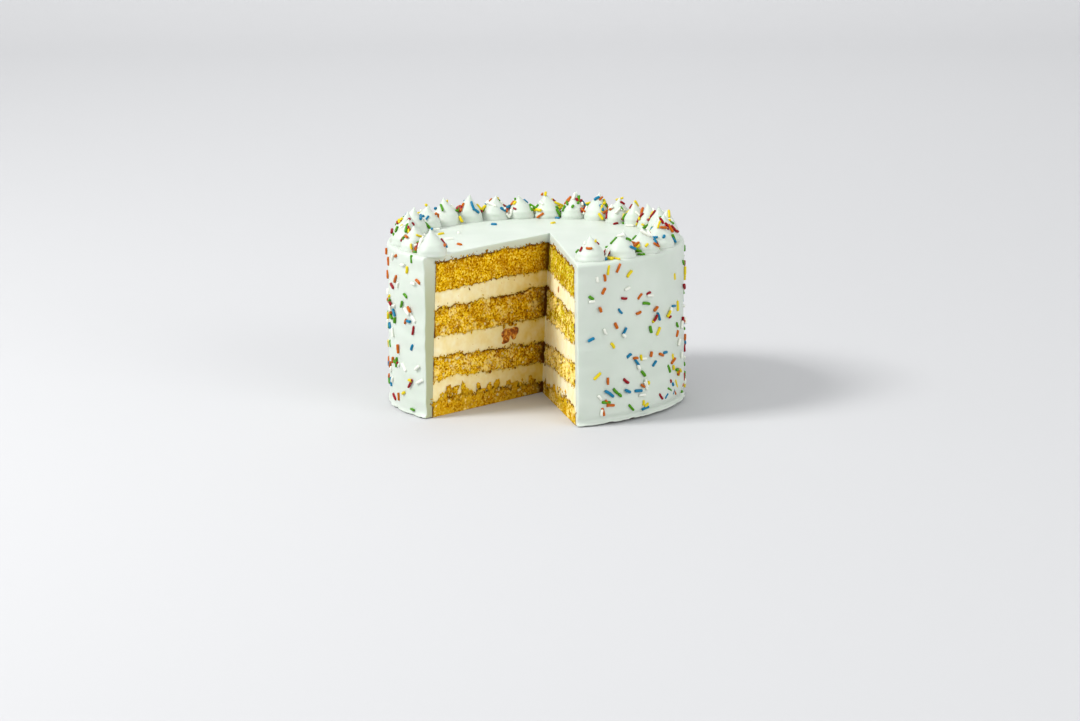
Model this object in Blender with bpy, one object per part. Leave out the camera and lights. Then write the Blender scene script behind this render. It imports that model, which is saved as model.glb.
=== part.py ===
"""A round layer cake: four thin sponges and three cream fillings, iced in pale mint, with piped dollops
round the rim, sugar strands over the icing, and a wedge already cut out.

Metres, +Z up, with the cut-out facing -Y. The cake is built round its own axis and then moved along -Y,
so that the origin is the middle of what the wedge leaves, on the surface that the cake stands on. An
azimuth is in degrees from -Y, turning towards +X.
"""

import math
import random

import bmesh
import bpy
from mathutils import Matrix, Vector, noise

MM = 0.001
GAP = 0.3 * MM

# Where the cake's own axis ends up
AXIS = Vector((0, -2.2)) * MM

# The iced cake
CAKE_RADIUS = 84 * MM
CAKE_HEIGHT = 91.5 * MM
ICING_FOOT = 0.6 * MM
RIM_ROUNDING = 1.8 * MM
RIM_STEPS = 3

# The stack of sponge and filling inside the icing, baked in a 152 mm tin and squashed wider at the foot
STACK_RADIUS_BASE = 79.2 * MM
STACK_RADIUS_TOP = 74.4 * MM

# The two knife cuts: where they leave the rim, and the leaning line on which they meet
RIGHT_CUT_AZIMUTH = 15.5
LEFT_CUT_AZIMUTH = 312.5
CUTS_MEET_BASE = Vector((3, 11)) * MM
CUTS_MEET_TOP = Vector((8, 19)) * MM

# Height of each boundary, where the cuts meet and at the rim, from the base up
BOUNDARY_HEIGHTS = (
    (0, 0),
    (6.5 * MM, 11.5 * MM),
    (17.5 * MM, 21.5 * MM),
    (29 * MM, 34.5 * MM),
    (43.5 * MM, 45 * MM),
    (61 * MM, 61.5 * MM),
    (71 * MM, 71 * MM),
    (86.5 * MM, 87.5 * MM),
)
LAYER_NAMES = ("sponge_1", "filling_1", "sponge_2", "filling_2", "sponge_3", "filling_3", "sponge_4")
BOUNDARY_WAVE = 0.9 * MM
BOUNDARY_WAVE_LENGTH = 13 * MM

# How finely the solids are faceted
AZIMUTH_STEPS = 48
CUT_FACE_STEPS = 18
SPONGE_LEVELS = 4
FILLING_LEVELS = 2
SMOOTH_UNDER = 40

# Relief of the cut faces: torn crumb in the sponge, knife drag in the filling
CRUMB_RELIEF = 0.9 * MM
CRUMB_SIZE = 5 * MM
CREAM_RELIEF = 0.3 * MM
CREAM_SIZE = 12 * MM

# The dollops, piped with a plain round nozzle
DOLLOP_COUNT = 23
DOLLOP_RING_RADIUS = 74 * MM
FIRST_DOLLOP_AZIMUTH = 24
LAST_DOLLOP_AZIMUTH = 309
CROWDED_DOLLOPS = 8
CROWDING = 6.3
DOLLOP_RADIUS = 7.9 * MM
DOLLOP_HEIGHT = 14.2 * MM
DOLLOP_HEIGHT_SPREAD = 1.3 * MM
DOLLOP_LEAN = 2.2 * MM
DOLLOP_SEGMENTS = 12
# Radius at each share of the height, as shares of the widest radius: a bulb that draws up to a point
DOLLOP_PROFILE = ((0, 0.97), (0.14, 1), (0.34, 0.93), (0.54, 0.66), (0.72, 0.36), (0.88, 0.14))

# Sugar strands
STRAND_WIDTH = 1.9 * MM
STRAND_LENGTHS = (3.2 * MM, 6.2 * MM)
STRAND_SIDES = 5
STRAND_SINK = 0.35
SIDE_STRANDS = 130
TOP_STRANDS = 8
STRANDS_PER_DOLLOP = 2
STRAND_SPACING = 7.5 * MM

# Lumps of amber caramel that the knife has opened: the cut, the share of the way along it from where the
# cuts meet, the height, and the half sizes along the cut, into it and up
CARAMEL_LEFT = (LEFT_CUT_AZIMUTH, 0.323, 37.2 * MM, Vector((7, 3, 4.4)) * MM)
CARAMEL_RIGHT = (RIGHT_CUT_AZIMUTH, 0.42, 66 * MM, Vector((3, 2, 3)) * MM)
CARAMEL_LUMPINESS = 0.18

MINT_ICING = ((0.78, 0.87, 0.81), 0.5)
SPONGE = ((0.62, 0.36, 0.05), 0.9)
CREAM = ((0.86, 0.68, 0.38), 0.55)
CARAMEL = ((0.45, 0.12, 0.01), 0.3)


def clear_scene():
    for old in list(bpy.data.objects):
        bpy.data.objects.remove(old)


def make_material(name, finish):
    colour, roughness = finish
    material = bpy.data.materials.new(name)
    material.use_nodes = True
    shader = material.node_tree.nodes["Principled BSDF"]
    shader.inputs["Base Color"].default_value = (*colour, 1)
    shader.inputs["Roughness"].default_value = roughness
    shader.inputs["Metallic"].default_value = 0
    return material


def make_object(name, mesh, material):
    mesh.materials.append(material)
    solid = bpy.data.objects.new(name, mesh)
    bpy.context.scene.collection.objects.link(solid)
    return solid


def shade_round(solid):
    """Shades the faceted round surfaces smooth and keeps the real edges sharp."""
    solid.data.polygons.foreach_set("use_smooth", [True] * len(solid.data.polygons))
    solid.data.set_sharp_from_angle(angle=math.radians(SMOOTH_UNDER))


def mix(a, b, share):
    return a + (b - a) * share


def direction(azimuth):
    """The level unit vector from the middle of the cake at this azimuth."""
    turn = math.radians(azimuth)
    return Vector((math.sin(turn), -math.cos(turn)))


def cuts_meet(height):
    return mix(CUTS_MEET_BASE, CUTS_MEET_TOP, height / CAKE_HEIGHT)


def stack_radius(height):
    """Radius of the sponges and fillings: widest at the foot, where their own weight spreads them."""
    return mix(STACK_RADIUS_BASE, STACK_RADIUS_TOP, height / CAKE_HEIGHT)


def place(azimuth, share, radius, height):
    """The point that is this share of the way from the line where the cuts meet to the circle of this
    radius, along the level ray that leaves the iced rim at this azimuth."""
    start = cuts_meet(height)
    ray = CAKE_RADIUS * direction(azimuth) - start
    along = start.dot(ray)
    reach = (-along + math.sqrt(along**2 - ray.dot(ray) * (start.dot(start) - radius**2))) / ray.dot(ray)
    point = start + share * reach * ray
    return Vector((point.x, point.y, height))


def cut_normal(azimuth, height):
    """The level normal of the cut face at this azimuth, pointing out into the cut-out."""
    ray = (CAKE_RADIUS * direction(azimuth) - cuts_meet(height)).normalized()
    turned = Vector((ray.y, -ray.x))
    return turned if azimuth == RIGHT_CUT_AZIMUTH else -turned


def boundary_height(number, azimuth, share):
    inner, outer = BOUNDARY_HEIGHTS[number]
    if number == 0:
        return inner
    flat = direction(azimuth) * share * CAKE_RADIUS / BOUNDARY_WAVE_LENGTH
    wave = noise.noise(Vector((flat.x, flat.y, number * 7.3)))
    return mix(inner, outer, share) + BOUNDARY_WAVE * wave


def azimuths():
    span = LEFT_CUT_AZIMUTH - RIGHT_CUT_AZIMUTH
    return [RIGHT_CUT_AZIMUTH + span * step / AZIMUTH_STEPS for step in range(AZIMUTH_STEPS + 1)]


def shares_at(azimuth):
    """Fine steps on the two cut faces, and none between the middle and the rim elsewhere."""
    steps = CUT_FACE_STEPS if azimuth in (RIGHT_CUT_AZIMUTH, LEFT_CUT_AZIMUTH) else 1
    return [step / steps for step in range(steps + 1)]


def add_face(shape, corners):
    """Adds a face on the corners that differ, where some share a vertex on the line of the cuts."""
    kept = [c for i, c in enumerate(corners) if c is not corners[i - 1]]
    if len(kept) > 2:
        shape.faces.new(kept)


def bridge_rows(shape, first, second):
    """Fills the strip between two rows of vertices that need not be as many."""
    i = j = 0
    while i < len(first) - 1 or j < len(second) - 1:
        next_first = (i + 1) / (len(first) - 1) if i < len(first) - 1 else math.inf
        next_second = (j + 1) / (len(second) - 1) if j < len(second) - 1 else math.inf
        if next_first <= next_second:
            add_face(shape, (first[i], first[i + 1], second[j]))
            i += 1
        else:
            add_face(shape, (first[i], second[j + 1], second[j]))
            j += 1


def relief(point, size, depth, seed):
    return depth * noise.noise(point / size + Vector((seed, 2 * seed, 3 * seed)))


def layer_mesh(number):
    """One sponge or filling, between its two wavy boundaries. Only the cut faces have inner levels."""
    is_sponge = LAYER_NAMES[number].startswith("sponge")
    levels = SPONGE_LEVELS if is_sponge else FILLING_LEVELS
    shape = bmesh.new()
    vertices = {}

    def face_relief(point, level):
        """Neighbouring layers share the relief at their boundary, which keeps the gap between them."""
        if level in (0, levels):
            return relief(point, CREAM_SIZE, CREAM_RELIEF, number + level // levels)
        if is_sponge:
            return relief(point, CRUMB_SIZE, CRUMB_RELIEF, number + 0.5)
        return relief(point, CREAM_SIZE, CREAM_RELIEF, number + 0.5)

    def vertex(azimuth, share, level):
        key = (0 if share == 0 else azimuth, share, level)
        if key not in vertices:
            low = boundary_height(number, azimuth, share) + (GAP if number else 0)
            high = boundary_height(number + 1, azimuth, share)
            height = mix(low, high, level / levels)
            point = place(azimuth, share, stack_radius(height), height)
            if azimuth in (RIGHT_CUT_AZIMUTH, LEFT_CUT_AZIMUTH) and 0 < share:
                point += cut_normal(azimuth, height).to_3d() * face_relief(point, level)
            vertices[key] = shape.verts.new(point)
        return vertices[key]

    turns = azimuths()
    for level in (0, levels):
        rows = [[vertex(a, s, level) for s in shares_at(a)] for a in turns]
        for first, second in zip(rows, rows[1:]):
            add_face(shape, (first[0], first[1], second[1]))
            bridge_rows(shape, first[1:], second[1:])
    cut_levels = list(range(levels + 1))
    columns = [[vertex(a, 1, n) for n in ((0, levels) if a in turns[1:-1] else cut_levels)] for a in turns]
    for first, second in zip(columns, columns[1:]):
        bridge_rows(shape, first, second)
    for a in (turns[0], turns[-1]):
        columns = [[vertex(a, s, n) for n in cut_levels] for s in shares_at(a)]
        for first, second in zip(columns, columns[1:]):
            for n in range(levels):
                add_face(shape, (first[n], second[n], second[n + 1], first[n + 1]))
    return finished_mesh(shape, LAYER_NAMES[number])


def finished_mesh(shape, name):
    bmesh.ops.triangulate(shape, faces=shape.faces)
    bmesh.ops.recalc_face_normals(shape, faces=shape.faces)
    mesh = bpy.data.meshes.new(name)
    shape.to_mesh(mesh)
    shape.free()
    return mesh


def icing_section():
    """The icing's cross-section, as (share of the way to the circle, radius, height), all the way round:
    up the outside, over the rim, in to the line of the cuts, back under the top and down the inside."""
    section = [(1, CAKE_RADIUS, ICING_FOOT), (1, CAKE_RADIUS, CAKE_HEIGHT / 2)]
    for step in range(RIM_STEPS + 1):
        turn = step / RIM_STEPS * math.pi / 2
        inset = RIM_ROUNDING * (1 - math.cos(turn))
        drop = RIM_ROUNDING * (1 - math.sin(turn))
        section.append((1, CAKE_RADIUS - inset, CAKE_HEIGHT - drop))
    section.append((0, CAKE_RADIUS, CAKE_HEIGHT))
    section.append((0, None, None))
    section.append((1, None, None))
    section.append((1, stack_radius(ICING_FOOT) + GAP, ICING_FOOT))
    return section


def icing_mesh():
    """A thick shell over the top and side of the stack, cut through by the same two knife cuts."""
    shape = bmesh.new()
    rows = []
    top = len(LAYER_NAMES)
    shared = {}
    for azimuth in azimuths():
        row = []
        for spot, (share, radius, height) in enumerate(icing_section()):
            if height is None:
                height = boundary_height(top, azimuth, share) + GAP
                radius = stack_radius(height) + GAP
            if share == 0:
                if spot not in shared:
                    shared[spot] = shape.verts.new(place(azimuth, share, radius, height))
                row.append(shared[spot])
            else:
                row.append(shape.verts.new(place(azimuth, share, radius, height)))
        rows.append(row)
    for first, second in zip(rows, rows[1:]):
        for spot in range(len(first)):
            add_face(shape, (first[spot - 1], first[spot], second[spot], second[spot - 1]))
    shape.faces.new(rows[0])
    shape.faces.new(rows[-1])
    return finished_mesh(shape, "icing")


def strand_mesh(length):
    """A sugar strand along X, a short many-sided rod."""
    shape = bmesh.new()
    bmesh.ops.create_cone(
        shape,
        cap_ends=True,
        segments=STRAND_SIDES,
        radius1=STRAND_WIDTH / 2,
        radius2=STRAND_WIDTH / 2,
        depth=length,
        matrix=Matrix.Rotation(math.pi / 2, 4, "Y"),
    )
    return finished_mesh(shape, "strand")


def strand_object(draw, spot, outward):
    """A strand lying flat at this spot, turned at random about the surface's outward normal."""
    strand = bpy.data.objects.new("strand", strand_mesh(draw.uniform(*STRAND_LENGTHS)))
    lie = outward.to_track_quat("Z", "X").to_matrix().to_4x4()
    spin = Matrix.Rotation(draw.uniform(0, math.tau), 4, "Z")
    lift = outward * STRAND_WIDTH / 2 * (1 - 2 * STRAND_SINK)
    strand.matrix_world = Matrix.Translation(spot + lift) @ lie @ spin
    return strand


def fuse(core, strands):
    """Joins the strands to the solid that they lie on, with one Boolean union."""
    group = bpy.data.collections.new("strands")
    bpy.context.scene.collection.children.link(group)
    for strand in strands:
        group.objects.link(strand)
    union = core.modifiers.new("union", "BOOLEAN")
    union.operation = "UNION"
    union.operand_type = "COLLECTION"
    union.collection = group
    union.solver = "MANIFOLD"
    replace_mesh_by_result(core)
    for strand in strands:
        bpy.data.objects.remove(strand)
    bpy.data.collections.remove(group)


def replace_mesh_by_result(solid):
    """Applies the object's modifiers."""
    bpy.context.view_layer.update()
    evaluated = solid.evaluated_get(bpy.context.evaluated_depsgraph_get())
    result = bpy.data.meshes.new_from_object(evaluated)
    solid.modifiers.clear()
    solid.data = result


def spread_spots(draw, count, draw_spot):
    """Spots drawn at random, each at least the spacing from the others."""
    spots = []
    while len(spots) < count:
        spot = draw_spot(draw)
        if all((spot - other).length > STRAND_SPACING for other in spots):
            spots.append(spot)
    return spots


def side_spot(draw):
    margin = 2.5
    azimuth = draw.uniform(RIGHT_CUT_AZIMUTH + margin, LEFT_CUT_AZIMUTH - margin)
    height = draw.uniform(5 * MM, CAKE_HEIGHT - 6 * MM)
    flat = CAKE_RADIUS * direction(azimuth)
    return Vector((flat.x, flat.y, height))


def top_spot(draw):
    azimuth = draw.uniform(RIGHT_CUT_AZIMUTH + 20, LEFT_CUT_AZIMUTH - 20)
    flat = draw.uniform(0.55, 0.68) * CAKE_RADIUS * direction(azimuth)
    return Vector((flat.x, flat.y, CAKE_HEIGHT))


def build_icing(material):
    icing = make_object("icing", icing_mesh(), material)
    draw = random.Random(4)
    strands = []
    for spot in spread_spots(draw, SIDE_STRANDS, side_spot):
        outward = Vector((spot.x, spot.y, 0)).normalized()
        strands.append(strand_object(draw, spot, outward))
    for spot in spread_spots(draw, TOP_STRANDS, top_spot):
        strands.append(strand_object(draw, spot, Vector((0, 0, 1))))
    fuse(icing, strands)


def dollop_azimuth(number):
    """The dollops crowd together on the right, where the ring was begun, and spread again after it."""
    even = mix(FIRST_DOLLOP_AZIMUTH, LAST_DOLLOP_AZIMUTH, number / (DOLLOP_COUNT - 1))
    if number <= CROWDED_DOLLOPS:
        return even + CROWDING * math.sin(math.pi * number / CROWDED_DOLLOPS)
    rest = DOLLOP_COUNT - 1 - CROWDED_DOLLOPS
    return even - CROWDING * math.sin(math.pi * (number - CROWDED_DOLLOPS) / rest)


def dollop_radius(number):
    """As wide as the nozzle makes it, or as the nearest neighbour leaves room for."""
    here = direction(dollop_azimuth(number))
    others = [n for n in (number - 1, number + 1) if 0 <= n < DOLLOP_COUNT]
    nearest = min((direction(dollop_azimuth(n)) - here).length for n in others) * DOLLOP_RING_RADIUS
    return min(DOLLOP_RADIUS, (nearest - GAP) / 2)


def dollop_mesh(radius, height, lean):
    shape = bmesh.new()
    rings = []
    for rise, width in DOLLOP_PROFILE:
        ring = []
        for step in range(DOLLOP_SEGMENTS):
            turn = math.tau * step / DOLLOP_SEGMENTS
            out = Vector((math.cos(turn), math.sin(turn), 0)) * radius * width
            ring.append(shape.verts.new(out + lean * rise**2 + Vector((0, 0, height * rise))))
        rings.append(ring)
    tip = shape.verts.new(lean + Vector((0, 0, height)))
    shape.faces.new(rings[0])
    for below, above in zip(rings, rings[1:]):
        for step in range(DOLLOP_SEGMENTS):
            shape.faces.new((below[step - 1], below[step], above[step], above[step - 1]))
    for step in range(DOLLOP_SEGMENTS):
        shape.faces.new((rings[-1][step - 1], rings[-1][step], tip))
    return finished_mesh(shape, "dollop")


def dollop_strand_spot(draw, radius, height, lean, azimuth):
    """A spot on the flank of a dollop, and the way that the surface faces there."""
    rise = draw.uniform(0.36, 0.82)
    pairs = zip(DOLLOP_PROFILE, DOLLOP_PROFILE[1:])
    below, above = next(pair for pair in pairs if rise <= pair[1][0])
    width = radius * mix(below[1], above[1], (rise - below[0]) / (above[0] - below[0]))
    slope = radius * (below[1] - above[1]) / (height * (above[0] - below[0]))
    around = direction(azimuth).to_3d()
    spot = around * width + lean * rise**2 + Vector((0, 0, height * rise))
    return spot, (around + Vector((0, 0, slope))).normalized()


def keeps_to_own_sector(number, strand):
    """Whether the strand stays clear of the planes half way to the neighbouring dollops."""
    for side in (-1, 1):
        half_way = (dollop_azimuth(number) + dollop_azimuth(number + side)) / 2
        outward = direction(half_way + 90 * side)
        for corner in strand.data.vertices:
            if (strand.matrix_world @ corner.co).to_2d().dot(outward) > -GAP:
                return False
    return True


def build_dollop(number, material):
    draw = random.Random(100 + number)
    azimuth = dollop_azimuth(number)
    radius = dollop_radius(number)
    height = DOLLOP_HEIGHT + draw.uniform(-1, 1) * DOLLOP_HEIGHT_SPREAD
    lean = (direction(draw.uniform(0, 360)) * draw.uniform(0.2, 1) * DOLLOP_LEAN).to_3d()
    flat = DOLLOP_RING_RADIUS * direction(azimuth)
    foot = Vector((flat.x, flat.y, CAKE_HEIGHT + GAP))
    dollop = make_object(f"dollop_{number + 1:02d}", dollop_mesh(radius, height, lean), material)
    dollop.location = foot
    strands = []
    while len(strands) < STRANDS_PER_DOLLOP:
        turn = azimuth + 360 * len(strands) / STRANDS_PER_DOLLOP + draw.uniform(-50, 50)
        spot, outward = dollop_strand_spot(draw, radius, height, lean, turn)
        strand = strand_object(draw, foot + spot, outward)
        if keeps_to_own_sector(number, strand):
            strands.append(strand)
        else:
            bpy.data.objects.remove(strand)
    fuse(dollop, strands)


def caramel_mesh(half_size, grown):
    """A rounded lump, longest along the cut face."""
    shape = bmesh.new()
    bmesh.ops.create_icosphere(shape, subdivisions=2, radius=1)
    for vertex in shape.verts:
        swell = 1 + CARAMEL_LUMPINESS * noise.noise(vertex.co * 1.3)
        unit = vertex.co.normalized()
        vertex.co = Vector(unit[i] * (half_size[i] * swell + grown) for i in range(3))
    return finished_mesh(shape, "caramel")


def build_caramel(name, azimuth, share, height, half_size, filling, material):
    """A lump in the cut face of a filling, and the pocket that it sits in."""
    centre = place(azimuth, share, stack_radius(height), height)
    normal = cut_normal(azimuth, height).to_3d()
    centre -= normal * half_size.y * 0.75
    turn = Matrix.Translation(centre) @ normal.to_track_quat("Y", "Z").to_matrix().to_4x4()
    pocket = bpy.data.objects.new("pocket", caramel_mesh(half_size, GAP))
    bpy.context.scene.collection.objects.link(pocket)
    pocket.matrix_world = turn
    cut = filling.modifiers.new("pocket", "BOOLEAN")
    cut.object = pocket
    replace_mesh_by_result(filling)
    bpy.data.objects.remove(pocket)
    lump = make_object(name, caramel_mesh(half_size, 0), material)
    lump.matrix_world = turn
    return lump


def build_cake():
    clear_scene()
    icing_material = make_material("mint_icing", MINT_ICING)
    sponge_material = make_material("sponge", SPONGE)
    cream_material = make_material("cream", CREAM)
    caramel_material = make_material("caramel", CARAMEL)
    layers = {}
    for number, name in enumerate(LAYER_NAMES):
        material = sponge_material if name.startswith("sponge") else cream_material
        layers[name] = make_object(name, layer_mesh(number), material)
    build_caramel("caramel_left", *CARAMEL_LEFT, layers["filling_2"], caramel_material)
    build_caramel("caramel_right", *CARAMEL_RIGHT, layers["filling_3"], caramel_material)
    build_icing(icing_material)
    for number in range(DOLLOP_COUNT):
        build_dollop(number, icing_material)
    for solid in bpy.data.objects:
        shade_round(solid)
        solid.location += AXIS.to_3d()


build_cake()
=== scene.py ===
import math
import random

import bmesh
import bpy
from mathutils import Matrix, Vector, noise
from mathutils.bvhtree import BVHTree


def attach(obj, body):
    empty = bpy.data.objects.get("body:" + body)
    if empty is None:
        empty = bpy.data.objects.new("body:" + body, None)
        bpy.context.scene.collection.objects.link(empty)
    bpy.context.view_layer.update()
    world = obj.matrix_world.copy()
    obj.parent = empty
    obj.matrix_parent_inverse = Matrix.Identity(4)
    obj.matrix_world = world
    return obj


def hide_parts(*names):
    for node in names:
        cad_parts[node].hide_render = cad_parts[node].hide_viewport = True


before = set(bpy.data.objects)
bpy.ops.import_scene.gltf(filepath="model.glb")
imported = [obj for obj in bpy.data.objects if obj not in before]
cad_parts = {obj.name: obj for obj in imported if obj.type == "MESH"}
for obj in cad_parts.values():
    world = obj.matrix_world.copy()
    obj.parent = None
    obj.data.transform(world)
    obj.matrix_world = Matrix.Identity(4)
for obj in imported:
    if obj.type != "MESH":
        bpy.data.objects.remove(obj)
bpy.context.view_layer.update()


# Sponges: four layers of golden pumpkin sponge, baked in a 152 mm tin, levelled and stacked. The knife
# has torn open a coarse crumb of pores and bright grains. Some layers keep a thin brown crust from the
# oven, and the lowest one has been squashed wider by the weight on it.

MM = 0.001
AXIS = Vector((0, -2.2, 0)) * MM
CAKE_RADIUS = 84 * MM
CAKE_HEIGHT = 91.5 * MM
STACK_RADIUS_BASE = 79.2 * MM
STACK_RADIUS_TOP = 74.4 * MM
RIGHT_CUT = 15.5
LEFT_CUT = 312.5
CUTS_MEET_BASE = Vector((3, 11)) * MM
CUTS_MEET_TOP = Vector((8, 19)) * MM
# Each boundary from the floor up: its height where the cuts meet, and at the icing.
BOUNDARY_HEIGHTS = (
    (0, 0),
    (6.5 * MM, 11.5 * MM),
    (17.5 * MM, 21.5 * MM),
    (29 * MM, 34.5 * MM),
    (43.5 * MM, 45 * MM),
    (61 * MM, 61.5 * MM),
    (71 * MM, 71 * MM),
    (86.5 * MM, 87.5 * MM),
)
BOUNDARY_WAVE = 0.9 * MM
BOUNDARY_WAVE_LENGTH = 13 * MM
TORN_EDGES = tuple(depth * MM for depth in (0, 3.4, 1.4, 1.5, 1.1, 1.4, 1.3, 1.0))
TEAR_LENGTH = 4.2 * MM
SHORT_TEAR_LENGTH = 1.4 * MM
LOWEST_SPONGE_ROUNDING = 4 * MM
TOP_SPONGE_ABOVE = 66 * MM
LOWEST_SPONGE_BELOW = 15 * MM
CUT_STEPS = 200
TURN_STEPS = 60
SPONGE_LEVELS = 40
RELIEF_MARGIN = 0.9 * MM


def mix(a, b, share):
    return a + (b - a) * share


def clamp(value):
    """The value, held between 0 and 1."""
    return max(0, min(1, value))


def near(distance, reach):
    """1 at no distance, falling smoothly to almost nothing at twice this reach."""
    return math.exp(-((distance / reach) ** 2))


def direction(azimuth):
    """The level unit vector at this azimuth, in degrees from -Y towards +X."""
    turn = math.radians(azimuth)
    return Vector((math.sin(turn), -math.cos(turn)))


def cuts_meet(height):
    """Where the two cuts meet at this height."""
    return mix(CUTS_MEET_BASE, CUTS_MEET_TOP, height / CAKE_HEIGHT)


def stack_radius(height):
    """The radius of the sponges and fillings at this height."""
    return mix(STACK_RADIUS_BASE, STACK_RADIUS_TOP, height / CAKE_HEIGHT)


def place(azimuth, share, radius, height):
    """The point this share of the way from the line where the cuts meet to the circle of this radius,
    along the level ray that leaves the iced rim at this azimuth."""
    start = cuts_meet(height)
    ray = CAKE_RADIUS * direction(azimuth) - start
    along = start.dot(ray)
    reach = (-along + math.sqrt(along**2 - ray.dot(ray) * (start.dot(start) - radius**2))) / ray.dot(ray)
    spot = start + share * reach * ray
    return Vector((spot.x, spot.y, height))


def cut_normal(azimuth, height):
    """The level normal of the cut face at this azimuth, pointing out into the cut-out."""
    ray = (CAKE_RADIUS * direction(azimuth) - cuts_meet(height)).normalized()
    side = 1 if azimuth == RIGHT_CUT else -1
    return Vector((side * ray.y, -side * ray.x, 0))


def boundary_height(number, azimuth, share):
    """A boundary between layers waves as it was spread, and the knife tore it. The lowest falls off at the
    icing, since that sponge has a rounded edge."""
    inner, outer = BOUNDARY_HEIGHTS[number]
    if number == 0:
        return inner
    flat = (direction(azimuth) * share * CAKE_RADIUS).to_3d()
    wave = noise.noise(flat / BOUNDARY_WAVE_LENGTH + Vector((0, 0, number * 7.3)))
    torn = noise.noise(flat / TEAR_LENGTH + Vector((0, 0, number * 3.1)))
    torn += 0.6 * noise.noise(flat / SHORT_TEAR_LENGTH + Vector((0, 0, number * 5.7)))
    rounded = 0
    if number == 1:
        rounded = LOWEST_SPONGE_ROUNDING * near((1 - share) * CAKE_RADIUS, LOWEST_SPONGE_ROUNDING)
    return mix(inner, outer, share) + BOUNDARY_WAVE * wave + TORN_EDGES[number] * torn - rounded


def bridge(faces, first, second):
    """Fills the strip between two rows of corners that need not be as many."""
    i = j = 0
    while i < len(first) - 1 or j < len(second) - 1:
        next_first = (i + 1) / (len(first) - 1) if i < len(first) - 1 else math.inf
        next_second = (j + 1) / (len(second) - 1) if j < len(second) - 1 else math.inf
        if next_first <= next_second:
            faces.append((first[i], first[i + 1], second[j]))
            i += 1
        else:
            faces.append((first[i], second[j + 1], second[j]))
            j += 1


def closed_mesh(name, points, faces):
    """A mesh of these points, moved onto the cake's axis, with all its faces turned outwards."""
    mesh = bpy.data.meshes.new(name)
    mesh.from_pydata([point + AXIS for point in points], [], faces)
    shape = bmesh.new()
    shape.from_mesh(mesh)
    bmesh.ops.recalc_face_normals(shape, faces=shape.faces)
    shape.to_mesh(mesh)
    shape.free()
    mesh.polygons.foreach_set("use_smooth", [True] * len(mesh.polygons))
    return mesh


def mark(mesh, **attributes):
    """Writes lists of numbers onto the points of a mesh, for its material to read."""
    for name, values in attributes.items():
        mesh.attributes.new(name, "FLOAT", "POINT").data.foreach_set("value", values)


def layer_mesh(name, number, levels, relief, crust, smear):
    """One sponge or filling as a closed disc with the wedge cut out. Its two cut faces are fine grids
    with the relief of the cut. Attributes say how far each point is browned or stained (a sponge's
    corner of the wedge also gets painted shade), how deep it lies (for painted shade in the pores),
    how much cream was smeared over it, and how far the right face, which faces the key light, gets
    a tint of painted light, weaker towards the foot."""
    points, faces, found = [], [], {}
    browned, hollows, smeared, fresh = [], [], [], []
    cuts = (RIGHT_CUT, LEFT_CUT)

    def corner(azimuth, share, level):
        key = (azimuth if share else 0, share, level)
        if key not in found:
            low = boundary_height(number, azimuth, share)
            high = boundary_height(number + 1, azimuth, share)
            height = mix(low, high, level / levels)
            spot = place(azimuth, share, stack_radius(height), height)
            depth = 0
            if share and azimuth in cuts:
                inside = min(1, min(height - low, high - height) / RELIEF_MARGIN)
                shared_relief = 0.25 * noise.noise(spot / (1.7 * MM)) * MM
                depth = mix(shared_relief, relief(spot), max(0, inside)) * min(1, share * 30)
                spot += cut_normal(azimuth, height) * depth
            found[key] = len(points)
            points.append(spot)
            browned.append(crust(spot, azimuth, share, height - low, high - height))
            # How deep the point lies, which sets the painted shade in the pores.
            hollows.append(-depth / MM)
            clumps = noise.noise(spot / (6 * MM)) + 0.9 * noise.noise(spot / (1.2 * MM))
            if azimuth == RIGHT_CUT:
                clumps += 0.42 if number < 4 else 0.2
            smeared.append(clamp(3 * (smear + clumps)))
            # Painted light: the right face, which faces the key light, gets a cool tint, weaker towards the
            # foot.
            fresh.append(min(1, 0.35 + height / (80 * MM)) if azimuth == RIGHT_CUT else 0)
        return found[key]

    turns = [mix(RIGHT_CUT, LEFT_CUT, step / TURN_STEPS) for step in range(TURN_STEPS + 1)]
    fine = [step / CUT_STEPS for step in range(CUT_STEPS + 1)]
    every = list(range(levels + 1))
    for level in (0, levels):
        rows = [[corner(a, s, level) for s in (fine if a in cuts else (0, 1))] for a in turns]
        for first, second in zip(rows, rows[1:]):
            faces.append((first[0], first[1], second[1]))
            bridge(faces, first[1:], second[1:])
    rims = [[corner(a, 1, n) for n in (every if a in cuts else (0, levels))] for a in turns]
    for first, second in zip(rims, rims[1:]):
        bridge(faces, first, second)
    for a in cuts:
        columns = [[corner(a, s, n) for n in every] for s in fine]
        bridge(faces, columns[0], columns[1])
        for first, second in zip(columns[1:], columns[2:]):
            for n in range(levels):
                faces.append((first[n], second[n], second[n + 1], first[n + 1]))
    mesh = closed_mesh(name, points, faces)
    mark(mesh, crust=browned, hollow=hollows, smeared=smeared, fresh=fresh)
    return mesh


def torn_crumb(spot):
    """Height of the torn crumb: grains of a millimetre or two, soft lumps, and round pores. The knife
    went through the top sponge cleanly, pulled clods out of the middle ones and pressed the moist lowest
    one smooth."""
    coarse, rough = 1.5, 1
    if spot.z > TOP_SPONGE_ABOVE:
        coarse = 0.6
    elif spot.z < LOWEST_SPONGE_BELOW:
        coarse, rough = 0.55, 0.7
    lumps = noise.noise(spot / (5 * MM))
    clods = noise.noise(spot / (2.6 * MM) + Vector((0, 5, 0)))
    grains = noise.noise(spot / (1.2 * MM) + Vector((9, 0, 0)))
    pore = max(0, 1 - noise.voronoi(spot / (3 * MM))[0][0] / 0.36)
    return (0.5 * lumps + 0.5 * coarse * clods + 0.35 * rough * grains - 0.9 * coarse * pore**0.7) * MM


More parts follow.
